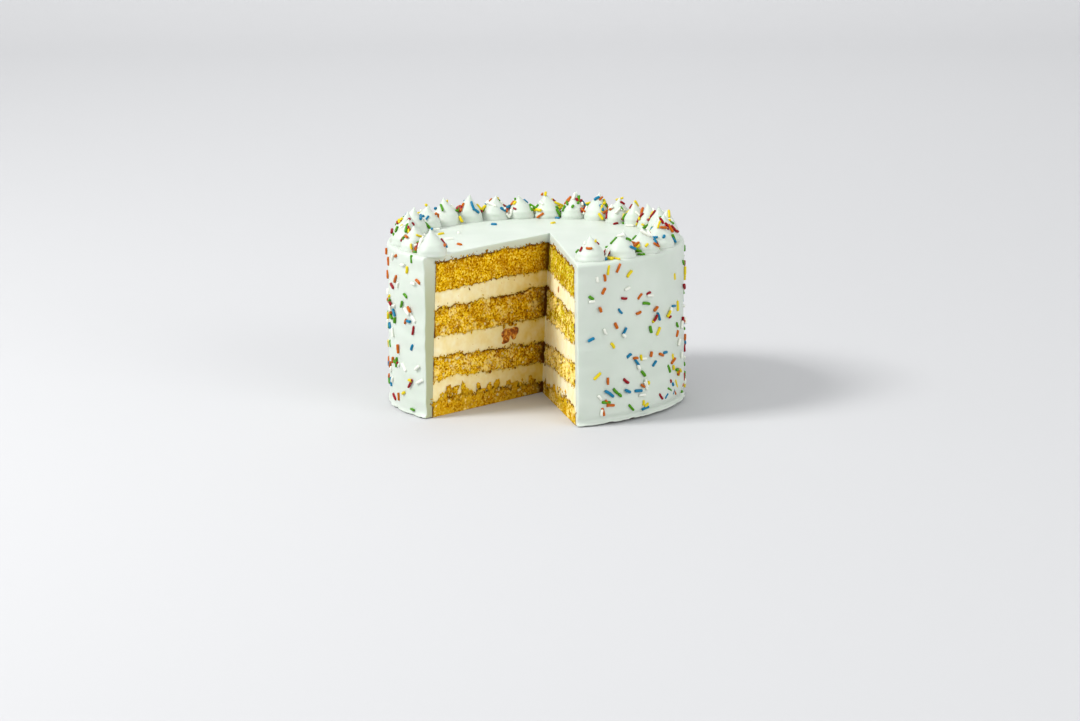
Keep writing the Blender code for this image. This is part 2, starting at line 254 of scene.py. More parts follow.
def crust_and_corner_shade(spot, azimuth, share, above, below):
    """How far the oven browned a point: most on top of a layer, next at its side, and in patches below. A
    thin line runs along under the top sponge on the left face. The corner of the wedge is darkened too,
    partly by browning and partly as painted shade in the deep corner where the cuts meet."""
    patchy = 0.7 + 1.5 * noise.noise(spot / (11 * MM) + Vector((4, 2, 8)))
    ragged = 1 + 0.9 * noise.noise(spot / (1.6 * MM))
    away = share * CAKE_RADIUS / ragged
    thick = (1.1 + 1.2 * near(away, 7 * MM)) * MM
    top = clamp(patchy) * max(0, 1.4 - below / (ragged * thick))
    under = azimuth == LEFT_CUT and spot.z > TOP_SPONGE_ABOVE and 0.15 < share < 0.68
    bottom = 0.9 if under else clamp(0.7 - patchy)
    bottom *= max(0, 1.3 - above / (ragged * 0.5 * MM))
    side = 0.7 * max(0, 1.4 - (1 - share) * CAKE_RADIUS / (ragged * 1.1 * MM))
    # Painted shade with some browning: the deep corner where the cuts meet is darkened, further along the
    # left face, which is in shade.
    reach = (13 if azimuth == LEFT_CUT else 4) * MM
    deep = 0.3 if spot.z > TOP_SPONGE_ABOVE else 0.65
    middle = deep * max(0, 1 - away / reach) + 0.6 * near(away, 2.5 * MM)
    return min(1, max(top, bottom, side, middle))


def linear(colour):
    """An sRGB hex colour as the linear values that a shader takes."""
    parts = [int(colour[i : i + 2], 16) / 255 for i in (1, 3, 5)]
    return [p / 12.92 if p <= 0.04045 else ((p + 0.055) / 1.055) ** 2.4 for p in parts] + [1]


def add(tree, kind, settings, inputs, stops=()):
    """Adds a node: its settings, its inputs as values or as links from sockets, and a ramp's stops."""
    node = tree.nodes.new(kind)
    for name, value in settings.items():
        setattr(node, name, value)
    for name, value in inputs.items():
        if isinstance(value, bpy.types.NodeSocket):
            tree.links.new(value, node.inputs[name])
        else:
            node.inputs[name].default_value = value
    for number, (position, colour) in enumerate(stops):
        ramp = node.color_ramp.elements
        stop = ramp[number] if number < len(ramp) else ramp.new(position)
        stop.position = position
        stop.color = linear(colour)
    return node


def new_material(name):
    """A material with its node tree and its shader."""
    material = bpy.data.materials.new(name)
    material.use_nodes = True
    return material, material.node_tree, material.node_tree.nodes["Principled BSDF"]


def put(name, data):
    """Adds an object to the scene."""
    thing = bpy.data.objects.new(name, data)
    bpy.context.scene.collection.objects.link(thing)
    return thing


# Pumpkin sponge: oil and egg foam set in the oven, so a dry matt wall round each bubble. The grains
# catch the light, painted shade turns the pores dark brown by how deep they lie, and light seeps a
# millimetre into the crumb. Low down it has drunk syrup, which fills the pores and evens out its colour.
sponge, tree, shader = new_material("pumpkin_sponge")
where = add(tree, "ShaderNodeTexCoord", {}, {}).outputs["Object"]
grain = add(
    tree,
    "ShaderNodeTexNoise",
    {},
    {"Vector": where, "Scale": 1 / (1.3 * MM), "Detail": 3, "Roughness": 0.7},
)
grain_colour = add(
    tree,
    "ShaderNodeValToRGB",
    {},
    {"Fac": grain.outputs["Fac"]},
    ((0.36, "#865200"), (0.45, "#D29A00"), (0.55, "#EEC610"), (0.64, "#FBE878")),
)
cloud = add(tree, "ShaderNodeTexNoise", {}, {"Vector": where, "Scale": 1 / (7 * MM), "Detail": 2})
cloud_colour = add(
    tree,
    "ShaderNodeValToRGB",
    {},
    {"Fac": cloud.outputs["Fac"]},
    ((0.36, "#C49A3C"), (0.56, "#FFFAE0")),
)
clouded = add(
    tree,
    "ShaderNodeMix",
    {"data_type": "RGBA", "blend_type": "MULTIPLY"},
    {0: 0.55, 6: grain_colour.outputs["Color"], 7: cloud_colour.outputs["Color"]},
)
level = add(tree, "ShaderNodeSeparateXYZ", {}, {"Vector": where})
low = add(
    tree,
    "ShaderNodeMapRange",
    {},
    {"Value": level.outputs["Z"], "From Min": LOWEST_SPONGE_BELOW, "From Max": 10 * MM, "To Max": 0.75},
)
patch = add(
    tree,
    "ShaderNodeMapRange",
    {},
    {"Value": cloud.outputs["Fac"], "From Min": 0.4, "From Max": 0.52, "To Min": 0.15},
)
moist = add(
    tree,
    "ShaderNodeMath",
    {"operation": "MULTIPLY"},
    {0: low.outputs["Result"], 1: patch.outputs["Result"]},
)
moistened = add(
    tree,
    "ShaderNodeMix",
    {"data_type": "RGBA"},
    {0: moist.outputs["Value"], 6: clouded.outputs[2], 7: linear("#D0A21C")},
)
# Painted light: a cool tint on the right cut face, where the key light falls.
fresh = add(tree, "ShaderNodeAttribute", {"attribute_name": "fresh"}, {})
freshened = add(
    tree,
    "ShaderNodeMix",
    {"data_type": "RGBA", "blend_type": "MULTIPLY"},
    {0: fresh.outputs["Fac"], 6: moistened.outputs[2], 7: linear("#E0F7FA")},
)
smeared = add(tree, "ShaderNodeAttribute", {"attribute_name": "smeared"}, {})
creamed = add(
    tree,
    "ShaderNodeMix",
    {"data_type": "RGBA"},
    {0: smeared.outputs["Fac"], 6: freshened.outputs[2], 7: linear("#F8DC80")},
)
# Painted shade: the deeper a point lies in the torn relief, the darker brown it is painted.
hollow = add(tree, "ShaderNodeAttribute", {"attribute_name": "hollow"}, {})
depth = add(
    tree,
    "ShaderNodeMapRange",
    {},
    {"Value": hollow.outputs["Fac"], "From Min": 0.1, "From Max": 1.4, "To Max": 0.85},
)
hollow_shaded = add(
    tree,
    "ShaderNodeMix",
    {"data_type": "RGBA"},
    {0: depth.outputs["Result"], 6: creamed.outputs[2], 7: linear("#8A5202")},
)
# The crust attribute browns the sponge; at the corner of the wedge it also carries painted shade.
crust = add(tree, "ShaderNodeAttribute", {"attribute_name": "crust"}, {})
browned = add(
    tree,
    "ShaderNodeMix",
    {"data_type": "RGBA"},
    {0: crust.outputs["Fac"], 6: hollow_shaded.outputs[2], 7: linear("#66380A")},
)
bump = add(
    tree,
    "ShaderNodeBump",
    {},
    {"Height": grain.outputs["Fac"], "Strength": 0.55, "Distance": 0.5 * MM},
)
tree.links.new(browned.outputs[2], shader.inputs["Base Color"])
tree.links.new(bump.outputs["Normal"], shader.inputs["Normal"])
shader.inputs["Roughness"].default_value = 0.9
shader.inputs["Specular IOR Level"].default_value = 0.02
shader.inputs["Subsurface Weight"].default_value = 0.15
shader.inputs["Subsurface Radius"].default_value = (1, 0.6, 0.2)
shader.inputs["Subsurface Scale"].default_value = 1.0 * MM

for number, smear in ((0, -0.5), (2, -0.2), (4, -0.25), (6, -0.6)):
    name = f"sponge_{number // 2 + 1}"
    mesh = layer_mesh(f"crumb_{name}", number, SPONGE_LEVELS, torn_crumb, crust_and_corner_shade, smear)
    mesh.materials.append(sponge)
    layer = put(f"crumb_{name}", mesh)
    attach(layer, "root")
    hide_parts(name)


# Fillings: three thick layers of vanilla buttercream spread between the sponges. The knife has dragged
# over them, which leaves faint upright streaks and a few opened air bubbles.

FILLING_LEVELS = 26
LOWEST_FILLING_BELOW = 30 * MM
NO_SMEAR = -9


def knife_drag(spot):
    """The knife's streaks run down the face, a millimetre or so apart, with a rare open bubble."""
    streak = noise.noise(Vector((spot.x / (1.6 * MM), spot.y / (1.6 * MM), spot.z / (9 * MM))))
    swell = noise.noise(spot / (7 * MM))
    bubble = max(0, 1 - noise.voronoi(spot / (5.5 * MM))[0][0] / 0.1)
    return (0.1 * streak + 0.3 * swell - 0.6 * bubble) * MM


def crumb_stain(spot, azimuth, share, above, below):
    """The sponge's oil and colour have soaked a little way into the cream, most in the middle of the cake,
    and the knife drew more of it over the left face."""
    edge = 0.5 * math.exp(-max(0, min(above, below)) / (0.6 * MM))
    patch = 0.05 + 0.25 * noise.noise(spot / (5 * MM)) + 0.15 * noise.noise(spot / (1.8 * MM))
    if azimuth == LEFT_CUT:
        patch += 0.2 + 0.6 * max(0, 1 - share * CAKE_RADIUS / (34 * MM))
        patch += 0.12 if spot.z < LOWEST_FILLING_BELOW else 0
    return clamp(edge + patch)


# Vanilla buttercream: whipped butter and sugar, opaque with a soft fatty sheen. Light spreads some
# millimetres inside it, which keeps its shadows warm, and it has picked up yellow crumbs near the sponges.
cream, tree, shader = new_material("vanilla_buttercream")
where = add(tree, "ShaderNodeTexCoord", {}, {}).outputs["Object"]
butter = add(tree, "ShaderNodeTexNoise", {}, {"Vector": where, "Scale": 1 / (9 * MM), "Detail": 3})
butter_colour = add(
    tree,
    "ShaderNodeValToRGB",
    {},
    {"Fac": butter.outputs["Fac"]},
    ((0.35, "#F8EDBE"), (0.65, "#FBF4D4")),
)
stain = add(tree, "ShaderNodeAttribute", {"attribute_name": "crust"}, {})
stained = add(
    tree,
    "ShaderNodeMix",
    {"data_type": "RGBA"},
    {0: stain.outputs["Fac"], 6: butter_colour.outputs["Color"], 7: linear("#E2BF44")},
)
fleck = add(tree, "ShaderNodeTexVoronoi", {}, {"Vector": where, "Scale": 1 / (3.4 * MM)})
fleck_mask = add(
    tree,
    "ShaderNodeMapRange",
    {},
    {"Value": fleck.outputs["Distance"], "From Min": 0.1, "From Max": 0.05},
)
flecked = add(
    tree,
    "ShaderNodeMix",
    {"data_type": "RGBA"},
    {0: fleck_mask.outputs["Result"], 6: stained.outputs[2], 7: linear("#D6A94A")},
)
tree.links.new(flecked.outputs[2], shader.inputs["Base Color"])
shader.inputs["Roughness"].default_value = 0.5
shader.inputs["IOR"].default_value = 1.46
shader.inputs["Subsurface Weight"].default_value = 0.3
shader.inputs["Subsurface Radius"].default_value = (1, 0.85, 0.5)
shader.inputs["Subsurface Scale"].default_value = 3 * MM

for number in (1, 3, 5):
    name = f"filling_{number // 2 + 1}"
    mesh = layer_mesh(f"cream_{name}", number, FILLING_LEVELS, knife_drag, crumb_stain, NO_SMEAR)
    mesh.materials.append(cream)
    layer = put(f"cream_{name}", mesh)
    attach(layer, "root")
    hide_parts(name)


# Caramel: two lumps of amber caramel that were stirred into the fillings and opened by the knife. The
# larger one has run down into two soft prongs.

# Boiled caramel: clear amber sugar with cream in it, so it glows orange where it is thin and has the
# hard gloss of cooled syrup.
caramel, tree, shader = new_material("boiled_caramel")
where = add(tree, "ShaderNodeTexCoord", {}, {}).outputs["Object"]
vein = add(
    tree,
    "ShaderNodeTexNoise",
    {},
    {"Vector": where, "Scale": 1 / (2.2 * MM), "Detail": 3, "Distortion": 0.6},
)
vein_colour = add(
    tree,
    "ShaderNodeValToRGB",
    {},
    {"Fac": vein.outputs["Fac"]},
    ((0.38, "#743000"), (0.5, "#B86212"), (0.62, "#E8AA40")),
)
tree.links.new(vein_colour.outputs["Color"], shader.inputs["Base Color"])
shader.inputs["Roughness"].default_value = 0.3
shader.inputs["IOR"].default_value = 1.5
shader.inputs["Subsurface Weight"].default_value = 0.1
shader.inputs["Subsurface Radius"].default_value = (1, 0.5, 0.15)
shader.inputs["Subsurface Scale"].default_value = 2 * MM
shader.inputs["Coat Weight"].default_value = 0.12


def lump_of(name, node, azimuth, share, height, lobes):
    """Melts round lobes into one lump that the knife has cut nearly flush with the face. A lobe is its
    middle along the face, out of it and up, and its three half sizes."""
    middle = place(azimuth, share, stack_radius(height), height) + AXIS
    outward = cut_normal(azimuth, height)
    turn = Matrix.Translation(middle) @ outward.to_track_quat("Y", "Z").to_matrix().to_4x4()
    shape = bmesh.new()
    for centre, half in lobes:
        made = bmesh.ops.create_icosphere(shape, subdivisions=3, radius=1)["verts"]
        for vertex in made:
            swell = 1 + 0.15 * noise.noise(vertex.co * 1.7 + Vector(centre))
            local = Vector(vertex.co[i] * half[i] * swell + centre[i] for i in range(3))
            flush = 0.45 + 0.25 * noise.noise(local / 1.5)
            local.y = min(local.y, flush)
            vertex.co = turn @ (local * MM)
    mesh = bpy.data.meshes.new(name)
    shape.to_mesh(mesh)
    shape.free()
    lump = put(name, mesh)
    melt = lump.modifiers.new("melt", "REMESH")
    melt.mode = "VOXEL"
    melt.voxel_size = 0.35 * MM
    melt.use_smooth_shade = True
    smooth = lump.modifiers.new("smooth", "SMOOTH")
    smooth.iterations = 6
    bpy.context.view_layer.update()
    graph = bpy.context.evaluated_depsgraph_get()
    lump.data = bpy.data.meshes.new_from_object(lump.evaluated_get(graph))
    lump.modifiers.clear()
    lump.data.materials.append(caramel)
    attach(lump, "root")
    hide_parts(node)


lump_of(
    "caramel_lump",
    "caramel_left",
    LEFT_CUT,
    0.323,
    37.2 * MM,
    (
        ((3, -0.5, 1.4), (4.4, 2.4, 3.1)),
        ((3.1, -0.5, -1.5), (3.1, 2.2, 2.8)),
        ((4.9, -0.3, -3.3), (2.1, 1.6, 1.2)),
        ((-0.6, -0.9, 2.5), (2.4, 2, 1.7)),
        ((-4, -0.5, 1.8), (3.4, 2.3, 2.8)),
        ((-3.2, -0.5, -0.7), (2.4, 2, 2.4)),
    ),
)
lump_of("caramel_streak", "caramel_right", RIGHT_CUT, 0.42, 66 * MM, (((0, -1, 0), (1.6, 1.6, 2.8)),))


# Icing: a coat of mint buttercream 4 to 10 mm thick over the top and side, spread with a turntable and a
# straight scraper. The scraper leaves faint level bands, a raised lip at the rim and a squeezed-out foot.

ICING_FOOT = 0.6 * MM
RIM_ROUNDING = 1.8 * MM
SIDE_STEPS = 64
SIDE_STEP_GROWTH = 1.4
RIM_STEPS = 8
TOP_STEPS = 34
ACROSS_STEPS = 8
ROUND_STEPS = 240
CORNER_REACH = 1.2 * MM
TUCK = 0.1 * MM
# How strongly painted shade greys the cap of the left cut, which faces away from the key light.
CAP_SHADE = 0.8
# Near a cut, how far the skin is drawn in at this many degrees from it.
CUT_EDGE_COLUMNS = ((0, 0.7 * MM), (0.12, 0.36 * MM), (0.35, 0.14 * MM), (0.7, 0.04 * MM), (1.2, 0))


def foot_gap(azimuth):
    """How far the foot has lifted off the floor: a long gap at the front right, small teeth elsewhere."""
    ragged = noise.noise(Vector((azimuth / 3.4, 0, 2))) + 0.6 * noise.noise(Vector((azimuth / 1.1, 0, 6)))
    lifted = 1.5 * math.sin(math.pi * clamp((azimuth - 18) / 76)) ** 0.7
    return (lifted + 1.2 * max(0, ragged)) * MM


def scraped(azimuth, height):
    """How far the side stands out from a true cylinder, at a height counted from the icing's foot."""
    around = math.radians(azimuth) * CAKE_RADIUS
    swell = 0.55 * noise.noise(Vector((around / (26 * MM), height / (22 * MM), 1)))
    band = 0.4 * noise.noise(Vector((around / (40 * MM), height / (5 * MM), 5)))
    uneven = max(0, 0.7 + 1.2 * noise.noise(Vector((around / (9 * MM), 0, 9))))
    foot = 1.1 * uneven * near(height - 0.9 * MM, 0.8 * MM)
    scraper = 0.6 + 0.5 * math.sin(math.radians(azimuth))
    foot += scraper * 0.5 * near(height - 11 * MM, 5 * MM)
    foot -= scraper * 1.1 * near(height - 3.2 * MM, 1.9 * MM)
    lip = 0.35 * near(CAKE_HEIGHT - RIM_ROUNDING - height, 1.2 * MM)
    return (swell + band + foot + lip) * MM


def smoothed(azimuth, share):
    """How far the top stands above its plane: slow swells, and a lip that the scraper pushed up."""
    flat = (direction(azimuth) * share * CAKE_RADIUS).to_3d()
    swell = 0.25 * noise.noise(flat / (24 * MM))
    uneven = 0.6 + 0.8 * noise.noise(flat / (9 * MM) + Vector((3, 1, 4)))
    lip = 0.45 * uneven * near((1 - share) * CAKE_RADIUS, 2.2 * MM)
    return (swell + lip) * MM


def icing_outer(azimuth, step, inset):
    """A point of the outside, counted from the foot up the side, round the rim and in to the middle."""
    if step <= SIDE_STEPS:
        height = mix(ICING_FOOT, CAKE_HEIGHT - RIM_ROUNDING, (step / SIDE_STEPS) ** SIDE_STEP_GROWTH)
        radius = CAKE_RADIUS + scraped(azimuth, height) - inset
        return place(azimuth, 1, radius, height + foot_gap(azimuth) * math.exp(-height / (3.5 * MM)))
    side = scraped(azimuth, CAKE_HEIGHT - RIM_ROUNDING) - inset
    step -= SIDE_STEPS
    if step <= RIM_STEPS:
        turn = step / RIM_STEPS * math.pi / 2
        radius = CAKE_RADIUS - RIM_ROUNDING * (1 - math.cos(turn)) + side * math.cos(turn)
        lift = (smoothed(azimuth, 1) - inset) * math.sin(turn)
        return place(azimuth, 1, radius, CAKE_HEIGHT - RIM_ROUNDING * (1 - math.sin(turn)) + lift)
    share = 1 - (step - RIM_STEPS) / TOP_STEPS
    fade = min(1, share * 12)
    lift = smoothed(azimuth, share) * fade - inset * fade
    return place(azimuth, share, CAKE_RADIUS - RIM_ROUNDING, CAKE_HEIGHT + lift)


def icing_inner(azimuth, step):
    """The point of the inside that faces the outer one of this step, tucked a little into the layers."""
    corner = boundary_height(7, azimuth, 1)
    if step <= SIDE_STEPS:
        height = mix(ICING_FOOT, corner - CORNER_REACH, step / SIDE_STEPS)
        return place(azimuth, 1, stack_radius(height) - TUCK, height)
    turned = (step - SIDE_STEPS) / RIM_STEPS * 2
    if turned <= 1:
        height = corner - CORNER_REACH * (1 - turned)
        return place(azimuth, 1, stack_radius(height) - TUCK, height)
    share = 1 - CORNER_REACH / CAKE_RADIUS * min(1, turned - 1)
    if step > SIDE_STEPS + RIM_STEPS:
        share *= 1 - (step - SIDE_STEPS - RIM_STEPS) / TOP_STEPS
    height = boundary_height(7, azimuth, share) - TUCK
    return place(azimuth, share, stack_radius(height) - TUCK, height)


def icing_mesh():
    """The coat as one closed shell. Its outer and inner skins are joined at the foot and at the two cuts,
    where the edge is rounded, and the left cut is marked for painted shade, most at its foot."""
    columns = [(RIGHT_CUT + offset, inset) for offset, inset in CUT_EDGE_COLUMNS]
    first, last = RIGHT_CUT + 2, LEFT_CUT - 2
    columns += [(mix(first, last, step / ROUND_STEPS), 0) for step in range(ROUND_STEPS + 1)]
    columns += [(LEFT_CUT - offset, inset) for offset, inset in reversed(CUT_EDGE_COLUMNS)]
    steps = SIDE_STEPS + RIM_STEPS + TOP_STEPS
    points, faces, shared, smudged = [], [], {}, set()

    def corner(key, spot):
        if key not in shared:
            shared[key] = len(points)
            points.append(spot)
        return shared[key]

    rows = []
    for azimuth, inset in columns:
        outer = [
            corner(("outer", steps if step == steps else (azimuth, step)), icing_outer(azimuth, step, inset))
            for step in range(steps + 1)
        ]
        inner = [
            corner(("inner", steps if step == steps else (azimuth, step)), icing_inner(azimuth, step))
            for step in range(steps + 1)
        ]
        rows.append((outer, inner))
    for (outer, inner), (next_outer, next_inner) in zip(rows, rows[1:]):
        for strip, next_strip in ((outer, next_outer), (inner, next_inner)):
            for step in range(steps - 1):
                faces.append((strip[step], strip[step + 1], next_strip[step + 1], next_strip[step]))
            faces.append((strip[steps - 1], strip[steps], next_strip[steps - 1]))
        faces.append((outer[0], next_outer[0], next_inner[0], inner[0]))
    for azimuth, (outer, inner) in ((RIGHT_CUT, rows[0]), (LEFT_CUT, rows[-1])):
        grid = []
        for step in range(steps + 1):
            line = [outer[step]]
            for across in range(1, ACROSS_STEPS):
                spot = points[outer[step]].lerp(points[inner[step]], across / ACROSS_STEPS)
                if step < steps:
                    spot = spot + cut_normal(azimuth, spot.z) * 0.6 * knife_drag(spot)
                line.append(corner((azimuth, "cap", step if step < steps else "meet", across), spot))
            grid.append(line + [inner[step]])
            if azimuth == LEFT_CUT:
                smudged.update(line + [inner[step]])
        if azimuth == LEFT_CUT:
            right_end = [shared[(RIGHT_CUT, "cap", "meet", across)] for across in range(1, ACROSS_STEPS)]
            grid[-1] = [outer[steps]] + right_end + [inner[steps]]
        for line, next_line in zip(grid, grid[1:]):
            for across in range(ACROSS_STEPS):
                faces.append((line[across], line[across + 1], next_line[across + 1], next_line[across]))
    used = sorted({corner for face in faces for corner in face})
    renumbered = {old: new for new, old in enumerate(used)}
    faces = [tuple(renumbered[corner] for corner in face) for face in faces]
    mesh = closed_mesh("mint_icing", [points[old] for old in used], faces)
    # Painted shade on the left cut's cap, fading near the top.
    smudges = [CAP_SHADE * (1 - (points[old].z / CAKE_HEIGHT) ** 5) if old in smudged else 0 for old in used]
    mark(mesh, smudge=smudges)
    return mesh


# Mint buttercream: the same whipped butter and sugar, tinted a very pale green. It is smooth and satin,
# and light spreads so far inside that its shadows stay pale and cool.
mint, tree, shader = new_material("mint_buttercream")
where = add(tree, "ShaderNodeTexCoord", {}, {}).outputs["Object"]
tint = add(tree, "ShaderNodeTexNoise", {}, {"Vector": where, "Scale": 1 / (25 * MM), "Detail": 2})
tint_colour = add(
    tree,
    "ShaderNodeValToRGB",
    {},
    {"Fac": tint.outputs["Fac"]},
    ((0.3, "#C6CFC3"), (0.7, "#CED6CB")),
)
# Painted shade: the cap of the left cut, which faces away from the key light, is painted a greyer olive,
# fading near the top.
smudge = add(tree, "ShaderNodeAttribute", {"attribute_name": "smudge"}, {})
smudged = add(
    tree,
    "ShaderNodeMix",
    {"data_type": "RGBA"},
    {0: smudge.outputs["Fac"], 6: tint_colour.outputs["Color"], 7: linear("#A3A87E")},
)
skin = add(tree, "ShaderNodeTexNoise", {}, {"Vector": where, "Scale": 1 / (2.2 * MM), "Detail": 3})
bump = add(
    tree,
    "ShaderNodeBump",
    {},
    {"Height": skin.outputs["Fac"], "Strength": 0.12, "Distance": 0.3 * MM},
)
tree.links.new(smudged.outputs[2], shader.inputs["Base Color"])
tree.links.new(bump.outputs["Normal"], shader.inputs["Normal"])
shader.inputs["Roughness"].default_value = 0.48
shader.inputs["IOR"].default_value = 1.46
shader.inputs["Subsurface Weight"].default_value = 0.3
shader.inputs["Subsurface Radius"].default_value = (0.8, 1, 0.8)
shader.inputs["Subsurface Scale"].default_value = 3 * MM

mesh = icing_mesh()
mesh.materials.append(mint)
icing = put("mint_icing", mesh)
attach(icing, "root")
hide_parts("icing")


# Dollops: twenty-three peaks of the same mint buttercream, piped round the rim with a plain nozzle. Each
# swells to a soft bulb and draws up to a point that leans where the nozzle was pulled away.

DOLLOP_COUNT = 23
DOLLOP_RING_RADIUS = 74 * MM
FIRST_DOLLOP_AZIMUTH = 24
LAST_DOLLOP_AZIMUTH = 309
CROWDED_DOLLOPS = 8
CROWDING = 6.3
DOLLOP_RADIUS = 7.9 * MM
DOLLOP_HEIGHT = 14.2 * MM
DOLLOP_HEIGHT_SPREAD = 1.3 * MM
DOLLOP_LEAN = 2.2 * MM
DOLLOP_PROFILE = ((0, 1.07), (0.14, 1.04), (0.34, 0.93), (0.54, 0.67), (0.72, 0.37), (0.88, 0.15), (1, 0.03))
DOLLOP_GAP = 0.3 * MM
DOLLOP_SINK = 0.8 * MM
CURL_ABOVE = 0.7
DOLLOP_RINGS = 30
DOLLOP_SEGMENTS = 40


def dollop_azimuth(number):
    """They crowd together on the right, where the ring was begun, and spread again after it."""
    even = mix(FIRST_DOLLOP_AZIMUTH, LAST_DOLLOP_AZIMUTH, number / (DOLLOP_COUNT - 1))
    if number <= CROWDED_DOLLOPS:
        return even + CROWDING * math.sin(math.pi * number / CROWDED_DOLLOPS)
    rest = DOLLOP_COUNT - 1 - CROWDED_DOLLOPS
    return even - CROWDING * math.sin(math.pi * (number - CROWDED_DOLLOPS) / rest)


def dollop_radius(number):
    """As wide as the nozzle gives, or less where the next dollop is close."""
    here = direction(dollop_azimuth(number))
    others = [n for n in (number - 1, number + 1) if 0 <= n < DOLLOP_COUNT]
    nearest = min((direction(dollop_azimuth(n)) - here).length for n in others) * DOLLOP_RING_RADIUS
    return min(DOLLOP_RADIUS, (nearest - DOLLOP_GAP) / 2)


def profile_width(rise):
    """The profile's stops joined by a smooth curve."""
    stops = DOLLOP_PROFILE
    spot = next(n for n in range(len(stops) - 1) if rise <= stops[n + 1][0])
    before, low, high, after = (stops[max(0, min(len(stops) - 1, spot + n))][1] for n in (-1, 0, 1, 2))
    t = (rise - stops[spot][0]) / (stops[spot + 1][0] - stops[spot][0])
    tangent_low, tangent_high = (high - before) / 2, (after - low) / 2
    return (
        (2 * t**3 - 3 * t**2 + 1) * low
        + (t**3 - 2 * t**2 + t) * tangent_low
        + (3 * t**2 - 2 * t**3) * high
        + (t**3 - t**2) * tangent_high
    )


def dollop_mesh(number):
    """A turned form with soft ridges and an uneven outline. Its tip leans and curls, and its foot is sunk
    into the icing."""
    draw = random.Random(100 + number)
    radius = dollop_radius(number)
    height = DOLLOP_HEIGHT + draw.uniform(-1, 1) * DOLLOP_HEIGHT_SPREAD
    lean = (direction(draw.uniform(0, 360)) * draw.uniform(0.2, 1) * DOLLOP_LEAN).to_3d()
    curl = (direction(draw.uniform(0, 360)) * draw.uniform(2, 12)).to_3d() * MM
    foot = (DOLLOP_RING_RADIUS * direction(dollop_azimuth(number))).to_3d()
    foot.z = CAKE_HEIGHT + DOLLOP_GAP
    points, faces, rings = [], [], []
    for ring in range(DOLLOP_RINGS):
        rise = 1 - (1 - ring / DOLLOP_RINGS) ** 1.15
        width = radius * profile_width(rise)
        ridge = 0.12 * MM * math.sin(rise * 26 + number) * (1 - rise)
        rings.append(range(len(points), len(points) + DOLLOP_SEGMENTS))
        for step in range(DOLLOP_SEGMENTS):
            turn = math.tau * step / DOLLOP_SEGMENTS
            outward = Vector((math.cos(turn), math.sin(turn), 0))
            dent = 1 + 0.09 * noise.noise(outward * 1.3 + Vector((7.7 * number, 2.2 * rise, 0)))
            spot = outward * (width * dent + ridge) + lean * rise**2 + Vector((0, 0, height * rise))
            points.append(foot + spot + curl * max(0, rise - CURL_ABOVE) ** 2)
    points.append(foot + lean + Vector((0, 0, height)) + curl * (1 - CURL_ABOVE) ** 2)
    sunk = Vector((0, 0, -DOLLOP_SINK))
    base = range(len(points), len(points) + DOLLOP_SEGMENTS)
    points += [points[corner] + sunk for corner in rings[0]]
    for low, high in zip([base] + rings, rings):
        for step in range(DOLLOP_SEGMENTS):
            faces.append((low[step - 1], low[step], high[step], high[step - 1]))
    for step in range(DOLLOP_SEGMENTS):
        faces.append((rings[-1][step - 1], rings[-1][step], base[0] - 1))
    faces.append(tuple(base))
    return closed_mesh(f"piped_dollop_{number + 1:02d}", points, faces)


dollops = []
for number in range(DOLLOP_COUNT):
    mesh = dollop_mesh(number)
    mesh.materials.append(mint)
    dollop = put(mesh.name, mesh)
    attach(dollop, "root")
    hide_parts(f"dollop_{number + 1:02d}")
    dollops.append(dollop)


# Sugar strands: short rods of coloured sugar paste, 1.2 to 1.9 mm thick, extruded, broken up and glazed.
# They were thrown at the side and sprinkled over the dollops while the icing was soft, and stuck.

STRAND_COLOURS = {
    "red": ("#900616", 0.16),
    "orange": ("#BA5C00", 0.18),
    "yellow": ("#D8C20C", 0.14),
    "green": ("#4A8C00", 0.18),
    "blue": ("#027298", 0.14),
    "white": ("#E6E8DC", 0.2),
}
STRAND_SIDES = 10
STRAND_ENDS = ((0, 0.62), (0.12, 0.88), (0.35, 1))
STRAND_WIDTH = 1.8 * MM
STRAND_SINK = 0.35
STRAND_SPACING = 7.5 * MM
SIDE_STRANDS = 130
TOP_STRANDS = 8
LOOSE_STRANDS = 190
LOOSE_SPACING = 2.6 * MM
CLUMP_COUNT = 46
CLUMP_SPACING = 8 * MM
CLUMPED_STRANDS = 140
FLANK_STRANDS = 6
DROPPED_STRANDS = 100
VALLEY_STRANDS = (5, 8, 10, 13)
DROP_HEIGHT = 0.13
PROBES = 6
strands = {colour: ([], []) for colour in STRAND_COLOURS}


def add_strand(draw, middle, along, outward, length, width):
    """Adds a rod to the piece of its colour: its ends are rounded, and it bends a little."""
    shares = [share for _, share in STRAND_COLOURS.values()]
    colour = draw.choices(list(STRAND_COLOURS), shares)[0]
    points, faces = strands[colour]
    along = (along - along.dot(outward) * outward).normalized()
    across = outward.cross(along)
    bend = draw.uniform(-0.35, 0.35) * MM
    half = length / 2
    stations = [(-half + at * width, swell) for at, swell in STRAND_ENDS] + [(0, 1)]
    stations += [(half - at * width, swell) for at, swell in reversed(STRAND_ENDS)]
    rings = []
    for at, swell in stations:
        centre = middle + along * at + across * bend * (1 - (at / half) ** 2)
        rings.append(range(len(points), len(points) + STRAND_SIDES))
        for step in range(STRAND_SIDES):
            turn = math.tau * step / STRAND_SIDES
            points.append(centre + (across * math.cos(turn) + outward * math.sin(turn)) * swell * width / 2)
    for low, high in zip(rings, rings[1:]):
        for step in range(STRAND_SIDES):
            faces.append((low[step - 1], low[step], high[step], high[step - 1]))
    faces.append(tuple(reversed(rings[0])))
    faces.append(tuple(rings[-1]))


def spread_spots(draw, count, draw_spot, spacing):
    """So many spots, each at least this far from all the others."""
    spots = []
    while len(spots) < count:
        spot = draw_spot(draw)
        if all((spot - other).length > spacing for other in spots):
            spots.append(spot)
    return spots


